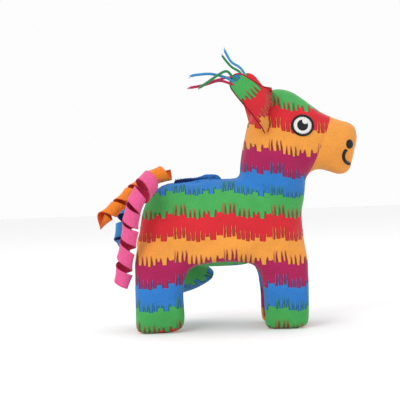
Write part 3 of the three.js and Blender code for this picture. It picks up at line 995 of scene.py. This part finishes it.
NEAR_STRINGS = {
    "green": [(18.6, 0.6, 9.4), (20.6, 0.3, 10.6), (23.6, 0.4, 12.2), (27.4, 0.8, 10),
              (32.4, 1, 5.6), (35.2, 1.2, 3.2)],
    "blue": [(18.6, 0, 8), (21, 0, 9), (24, -0.7, 9.8), (30, -1.4, 10),
             (35.9, -1.8, 8.6), (38.6, -2, 7.6)],
    "crimson": [(18.6, 0.2, 6.8), (20.8, 0.2, 7.4), (25.9, -0.6, 7.8), (31.7, -0.8, 5.2),
                (35.1, -1, 3.8), (38.7, -1.2, 2.6)],
}
FAR_STRINGS = {
    "green": [(18.4, 0, 8.6), (20.8, 0, 9.6), (24, 0.8, 10.8), (29, 1.6, 11),
              (34, 1.8, 12.4), (36.6, 2, 13.4)],
    "blue": [(18.4, 0, 9.6), (20.4, 0, 11), (24, -0.8, 12.4), (29, -1.2, 12.6),
             (33.4, -1.4, 14.6), (35.4, -1.5, 15.8)],
    "crimson": [(18.4, 0, 7.4), (20.6, 0, 7.6), (23.6, -0.8, 7), (26.4, -1.6, 5),
                (30, -2.2, 1.4), (32.6, -2.4, -1)],
}


def swept_tube(path, radius_at, sides):
    """A closed tube along a path. radius_at takes (share of the length, length so far, angle)."""
    path = np.asarray(path)
    tangents = unit(np.gradient(path, axis=0))
    lengths = lengths_along(path)
    across = np.cross(tangents[0], (0, 1, 0.2))
    points = []
    for point, tangent, length in zip(path, tangents, lengths):
        across = unit(across - tangent * (across @ tangent))
        aside = np.cross(tangent, across)
        for side in range(sides):
            angle = 2 * math.pi * side / sides
            radius = radius_at(length / lengths[-1], length, angle)
            points.append(point + radius * (across * math.cos(angle) + aside * math.sin(angle)))
    return points, tube_faces(len(path), sides)


STRING_RADIUS, PLY_RELIEF = 0.48, 0.13
STRING_TWIST = 2.6  # radians for each millimetre


def twisted(share, length, angle):
    """A three-ply string: its section turns as it goes, and it thins at a cut end."""
    ply = STRING_RADIUS + PLY_RELIEF * abs(math.cos(1.5 * (angle - STRING_TWIST * length)))
    return ply * (1 - 0.35 * max(0.0, (share - 0.97) / 0.03))


def string_fibre(name, colour):
    material, nodes, shader = new_material(name, roughness=0.8, sheen=0.3, sheen_roughness=0.4)
    position = object_position(nodes)
    tone = nodes.range(nodes.noise(position, 2400, 3.0, 0.7), 0.25, 0.75, 0.0, 1.0)
    give_grain(nodes, shader, tone, colour, 0.55, 0.00008, 0.6)
    return material


def make_strings(side, strings, materials):
    for word, route in strings.items():
        path = spline(on_ear(side, route), 26)
        shapes = [swept_tube(path, twisted, 18)]
        tip, heading = path[-1], unit(path[-1] - path[-4])
        for strand in range(7):
            lean = np.array([noise.noise(Vector((strand * 3.1, k * 1.7, len(word)))) for k in range(3)])
            end = tip + heading * (0.9 + 0.5 * math.sin(strand)) + lean * 1.3
            hair = [tip - heading * 0.4, (tip + end) / 2 + lean * 0.2, end]
            shapes.append(swept_tube(hair, lambda share, length, angle: 0.13 * (1 - 0.6 * share), 5))
        piece = mesh_object(f"{side}_{word}_string_twist", *joined(shapes), materials[word])
        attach(piece, f"{side}_ear")
        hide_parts(f"{side}_ear_{word}_string")


def make_ears(ground):
    cloth = printed_fabric("ear_fabric", muzzle=False)
    materials = {
        "green": string_fibre("green_string", srgb(48, 140, 84)),
        "blue": string_fibre("blue_string", srgb(58, 150, 208)),
        "crimson": string_fibre("crimson_string", srgb(190, 44, 88)),
    }
    for side, strings in (("right", NEAR_STRINGS), ("left", FAR_STRINGS)):
        make_ear(side, cloth, ground)
        make_strings(side, strings, materials)


# ---- Ribbons ------------------------------------------------------------------------------------

RIBBON_WIDTH, RIBBON_THICKNESS = 6.35, 0.42
RIBBON_CROWN = 0.35  # four times how far the band's middle is hollowed
RIB_PITCH = 0.62  # from one woven rib to the next
STEPS_PER_TURN = 36
BAND_COLUMNS = 9  # points across each face of the band
CUT_SLANT = 2.4  # how far the cut end slants


def near_end(t, at, spread):
    return math.exp(-(((t - at) / spread) ** 2))


# Each ribbon: "face" is its colour, and "back" is that colour darkened, painted shade for the inside of each
# curl and its cut ends.
RIBBONS = {
    "pink": {
        "axis": [(-29.4, -12.2, 67), (-33.4, -17.8, 62.6), (-37.2, -19.8, 56.4), (-39.3, -18.6, 49.6),
                 (-40.6, -15.8, 42), (-42.8, -14.4, 32), (-44.2, -13.4, 23.2)],
        "turns": -6.0, "end": 200,
        "radius": lambda t: 3.3 + 1.6 * near_end(t, 0.13, 0.1) - 1.4 * near_end(t, 0, 0.05),
        "face": srgb(238, 92, 150), "back": srgb(206, 34, 84),
    },
    "orange": {
        "axis": [(-24.4, 0, 69.4), (-31.4, -1, 67.2), (-39.2, -3.4, 61.6), (-46.4, -6, 55),
                 (-53.4, -8.6, 49.4)],
        "turns": 4.5, "end": 250,
        "radius": lambda t: 2.7 + 0.9 * near_end(t, 0, 0.2),
        "face": srgb(246, 136, 36), "back": srgb(222, 84, 22),
    },
    "blue": {
        "axis": [(-31.6, 8, 67), (-38, 8, 61.4), (-42.4, 8, 53), (-44.6, 8, 44), (-45.4, 8, 37)],
        "turns": 3.6, "end": 290,
        "radius": lambda t: 3.4,
        "face": srgb(48, 134, 204), "back": srgb(26, 66, 130),
    },
}


def grosgrain(name, colour):
    """Ribbed ribbon: fine ribs run across it. UV map "ribbon" is along and across, in mm."""
    material, nodes, shader = new_material(name, roughness=0.62, sheen=0.2, sheen_roughness=0.35)
    along, _ = nodes.parts(nodes.uv("ribbon"))
    rib = nodes.range(nodes.math("SINE", nodes.math("MULTIPLY", along, 2 * math.pi / RIB_PITCH)), -1, 1)
    slub = nodes.range(nodes.noise(object_position(nodes), 900, 3.0), 0.3, 0.7, 0.9, 1.08)
    tone = nodes.brightened(nodes.mix(rib, darker(colour, 0.74), colour), slub)
    nodes.feed(shader.inputs["Base Color"], tone)
    nodes.feed(shader.inputs["Normal"], nodes.bump(rib, 0.00016, 0.75))
    return material


def wound_line(axis, turns, end, radius):
    """The middle line of a band wound round a curved axis, and which way is outwards along it."""
    path = spline(axis, 60)
    t = np.linspace(0, 1, round(abs(turns) * STEPS_PER_TURN) + 1)
    sampled = np.stack([np.interp(t, np.linspace(0, 1, len(path)), path[:, k]) for k in range(3)], -1)
    tangents = unit(np.gradient(sampled, axis=0))
    across = unit(np.cross((0, 1, 0), tangents))
    aside = np.cross(tangents, across)
    angle = math.radians(end) - (1 - t) * turns * 2 * np.pi
    outward = across * np.cos(angle)[:, None] + aside * np.sin(angle)[:, None]
    return sampled + outward * np.array([radius(k) for k in t])[:, None], outward, t


def band_points(centre, outward, t, turns):
    """Closed sections of the band along its middle line, with their places on the ribbon."""
    heading = np.gradient(centre, axis=0)
    widthwise = unit(np.cross(heading, outward) * math.copysign(1, turns))
    ahead = unit(heading)
    slants = CUT_SLANT * smoothstep(0.96, 1, t)
    points, places = [], []
    for i, along in enumerate(lengths_along(centre)):
        for sign in (1, -1):
            for share in np.linspace(-0.5, 0.5, BAND_COLUMNS) * sign:
                crown = RIBBON_CROWN * (0.25 - share**2)
                offset = widthwise[i] * share * RIBBON_WIDTH
                lift = outward[i] * (sign * RIBBON_THICKNESS / 2 - crown)
                points.append(centre[i] + offset + lift + ahead[i] * slants[i] * share)
                places.append((along, share * RIBBON_WIDTH))
    return points, np.array(places)


def make_ribbon(word, axis, turns, end, radius, face, back):
    """A flat band wound round a curved axis, its width along the axis; its inside and cut ends are painted
    darker, as painted shade.
    """
    centre, outward, t = wound_line(axis, turns, end, radius)
    points, places = band_points(centre, outward, t, turns)
    ring = 2 * BAND_COLUMNS
    order = 1 if turns < 0 else -1
    last = len(points) - ring
    faces = [quad[::order] for quad in strips(len(t), ring)]
    # The inner faces and both cut ends take the second material: the ribbon's colour darkened, a painted
    # shade for the inside of the curl.
    inner = [i % ring >= BAND_COLUMNS - 1 for i in range(len(faces))] + [True, True]
    faces += [list(range(ring))[::-1], [last + k for k in range(ring)]]
    piece = mesh_object(f"{word}_ribbon_curl", points, faces, grosgrain(f"{word}_ribbon_face", face))
    # Second material: the darker "back" colour, painted shade on the inside of the curl.
    piece.data.materials.append(grosgrain(f"{word}_ribbon_inside_painted_shade", back))
    piece.data.polygons.foreach_set("material_index", [int(side) for side in inner])
    set_uv(piece, places[corner_vertices(piece)], "ribbon")
    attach(piece, f"{word}_tail_ribbon")
    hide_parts(f"{word}_ribbon")


# ---- The pocket in the back ---------------------------------------------------------------------


def plain_cloth(name, colour, weave=1900):
    material, nodes, shader = new_material(name, roughness=0.9, sheen=0.2, sheen_roughness=0.4)
    position = object_position(nodes)
    tone = nodes.range(nodes.noise(position, weave, 3.0, 0.7), 0.25, 0.75)
    give_grain(nodes, shader, tone, colour, 0.5, 0.0002, 0.7)
    return material


LIP_TOPS = {
    "right": [(-21, 64.6), (-16.5, 64.9), (-12.5, 65.4), (-9, 66), (-4, 66.2), (0.3, 65.6)],
    "left": [(-21, 65.2), (-18, 66.6), (-14, 67), (-11.3, 67), (-8.6, 67.6), (-6.4, 68.3), (-1.6, 68),
             (0.5, 66.2)],
}


def skin_height(ground, x, y):
    hit = ground.ray_cast(placed((x, y, 90)), Vector((0, 0, -1)))[0]
    return (hit.z / MM) if hit else 64.0


LIP_PRINT = 66.5  # a height on the print where it is blue all along


def make_lip(word, ground, cloth):
    """A folded hem that rises from the edge of the skin and turns down into the pocket."""
    side = SIDES[word]
    tops = spline(LIP_TOPS[word], 14)
    points = []
    for x, top in tops:
        edge = skin_height(ground, x, side * 5.0)
        top = max(top, edge + 0.8)
        wave = 0.28 * math.sin(x * 0.9 + side) + 0.2 * math.sin(x * 2.3)
        # From the outside over the top and down the inside: distance from the middle, and height.
        section = [(5.6, edge - 0.5), (5.1, edge + 0.12), (4.5, edge + 0.4), (4.15, (edge + top) / 2),
                   (4.1 + wave, top - 0.5), (3.75 + wave, top), (3.35 + wave, top - 0.2),
                   (3.2 + wave, top - 0.9), (3.3, 64), (3.2, 61), (3.6, 60.4), (4.0, 61),
                   (4.2, 63.2), (4.7, edge - 0.7)]
        points += [(x, side * y, z) for y, z in section]
    faces = tube_faces(len(tops), len(points) // len(tops), flip=side < 0)
    lip = mesh_object(f"{word}_lip_hem", points, faces, cloth)
    applied(lip, "SUBSURF", levels=2, render_levels=2)
    blue = np.repeat([[0.0, LIP_PRINT]], len(lip.data.loops), 0)
    blue[:, 0] = coordinates(lip)[corner_vertices(lip), 0]
    set_uv(lip, blue)
    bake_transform(lip)
    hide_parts(f"{word}_pocket_lip")


TAPE_REAR, TAPE_FRONT, TAPE_LOW = -20.6, -2.0, 61.6
TAPE_TOP = {"right": 64.8, "left": 66.4}
TAPE_AT, TAPE_HALF_THICKNESS = 2.75, 0.3  # the strip's distance from the toy's middle
PILE_AT = 2.55  # where the hooks and loops stand on the strip
PILE_STEP_ALONG, PILE_STEP_UP = 0.55, 0.5


def make_tape(word, node, hooks, material):
    """One half of the hook-and-loop tape: a strip with its pile of hooks or loops."""
    side = SIDES[word]
    top = TAPE_TOP[word]
    middle_of_tape = ((TAPE_REAR + TAPE_FRONT) / 2, side * TAPE_AT, (TAPE_LOW + top) / 2)
    radii = ((TAPE_FRONT - TAPE_REAR) / 2, TAPE_HALF_THICKNESS, (top - TAPE_LOW) / 2)
    shapes = [superellipsoid(middle_of_tape, radii, 8)]
    rng = np.random.default_rng(7 if hooks else 11)
    for x in np.arange(TAPE_REAR + 0.3, TAPE_FRONT - 0.2, PILE_STEP_ALONG):
        for z in np.arange(TAPE_LOW + 0.3, top + 0.1, PILE_STEP_UP):
            root = np.array((x, side * PILE_AT, z)) + rng.uniform(-0.18, 0.18, 3)
            lean = rng.uniform(-0.45, 0.45, 3)
            up = np.array((0, -side * (0.55 if hooks else 0.7), 0.35))
            tip = root + up + lean * (0.5 if hooks else 1.2)
            hair = [root, (root + tip) / 2 + lean * 0.25, tip]
            shapes.append(swept_tube(hair, lambda share, length, angle: 0.12 * (1 - 0.5 * share), 4))
    tape = mesh_object(f"{node}_pile", *joined(shapes), material)
    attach(tape, f"{word}_lip")
    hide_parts(node)


# The lining's bag, from its mouth down: each row's height and half width.
LINING_ROWS = [(64.2, 4.75), (62.8, 5.0), (60, 5.5), (56, 6.0), (51, 6.1), (46, 5.9), (43.6, 4.6),
               (43.0, 2.6)]
LINING_MIDDLE, LINING_HALF_LENGTH = -10.35, 10.3
LINING_THICKNESS = 0.3


def make_lining(material):
    """The pocket's bag: narrow at its mouth, and wider and softly folded below."""
    sides = 56
    points = []
    for z, half in LINING_ROWS:
        for i in range(sides):
            turn = 2 * math.pi * i / sides
            squarish = [math.copysign(abs(c) ** 0.4, c) for c in (math.cos(turn), math.sin(turn))]
            ripple = 0.25 * math.sin(5 * turn + z * 0.4)
            long = LINING_HALF_LENGTH - 0.25 * (6.2 - half)
            x = LINING_MIDDLE + long * squarish[0]
            points.append((x, (half + ripple * 0.6) * squarish[1], z + 0.1 * ripple))
    faces = [turned_over(face) for face in strips(len(LINING_ROWS), sides)]
    faces.append([(len(LINING_ROWS) - 1) * sides + i for i in range(sides)])
    bag = mesh_object("pocket_lining_bag", points, faces, material)
    applied(bag, "SOLIDIFY", thickness=LINING_THICKNESS * MM, offset=0)
    applied(bag, "SUBSURF", levels=1, render_levels=1)
    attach(bag, "torso")
    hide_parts("pocket_lining")


def make_pocket(ground):
    cloth = printed_fabric("lip_fabric", muzzle=False)
    navy = plain_cloth("navy_lining", srgb(30, 58, 118))
    pile = plain_cloth("hook_and_loop", srgb(26, 60, 140), weave=2600)
    for word, node, hooks in (("right", "hook_strip", True), ("left", "loop_strip", False)):
        make_lip(word, ground, cloth)
        make_tape(word, node, hooks, pile)
    make_lining(navy)


# ---- Camera, light and floor --------------------------------------------------------------------

CAMERA_AT = (-11.6, -500.0, 60.0)
AIM = (-9.45, 0.0, 56.86)
ROLL = 2.1  # degrees that the camera leans
WIDTH_SEEN = 178.0  # millimetres across the picture, at the toy's middle
SENSOR_WIDTH = 36


def make_camera():
    data = bpy.data.cameras.new("camera")
    data.sensor_width = SENSOR_WIDTH
    data.lens = SENSOR_WIDTH * abs(CAMERA_AT[1]) / WIDTH_SEEN
    data.clip_start, data.clip_end = 0.02, 20
    camera = bpy.data.objects.new("camera", data)
    bpy.context.scene.collection.objects.link(camera)
    camera.location = placed(CAMERA_AT)
    looking = (placed(AIM) - placed(CAMERA_AT)).to_track_quat("-Z", "Y")
    camera.rotation_mode = "QUATERNION"
    camera.rotation_quaternion = looking @ Matrix.Rotation(math.radians(-ROLL), 4, "Z").to_quaternion()
    bpy.context.scene.camera = camera


def area_light(name, place, aim, size, power):
    data = bpy.data.lights.new(name, "AREA")
    data.size, data.energy = size, power
    light = bpy.data.objects.new(name, data)
    light.location = place
    light.rotation_mode = "QUATERNION"
    light.rotation_quaternion = (Vector(aim) - Vector(place)).to_track_quat("-Z", "Y")
    bpy.context.scene.collection.objects.link(light)


# Each light: where it stands from the toy's middle, in metres, its size and its power.
LIGHTS = {"key": ((-0.45, -0.7, 0.65), 0.45, 3.0), "fill": ((0.8, -0.6, 0.25), 0.8, 0.4),
          "top": ((0, 0.15, 0.95), 0.9, 1.2)}


def make_stage():
    """Soft studio light on a pale floor."""
    centre = placed((0, 0, 60))
    for name, (away, size, power) in LIGHTS.items():
        area_light(name, centre + Vector(away), centre, size, power)
    world = bpy.data.worlds.new("studio")
    world.use_nodes = True
    background = world.node_tree.nodes["Background"]
    background.inputs["Color"].default_value = (1, 1, 1, 1)
    background.inputs["Strength"].default_value = 0.98
    bpy.context.scene.world = world
    corners = [(-3000, -3000, 0), (3000, -3000, 0), (3000, 3000, 0), (-3000, 3000, 0)]
    floor = mesh_object("floor", corners, [[0, 1, 2, 3]], smooth=False)
    material, _, shader = new_material("floor", roughness=0.8)
    shader.inputs["Base Color"].default_value = (0.93, 0.93, 0.93, 1)
    floor.data.materials.append(material)
    bpy.context.scene.view_settings.view_transform = "Standard"


def make_ribbons():
    for word, sizes in RIBBONS.items():
        make_ribbon(word, **sizes)


make_camera()
ground = make_skin()
make_faces(ground)
make_ears(ground)
make_ribbons()
make_pocket(ground)
make_stage()
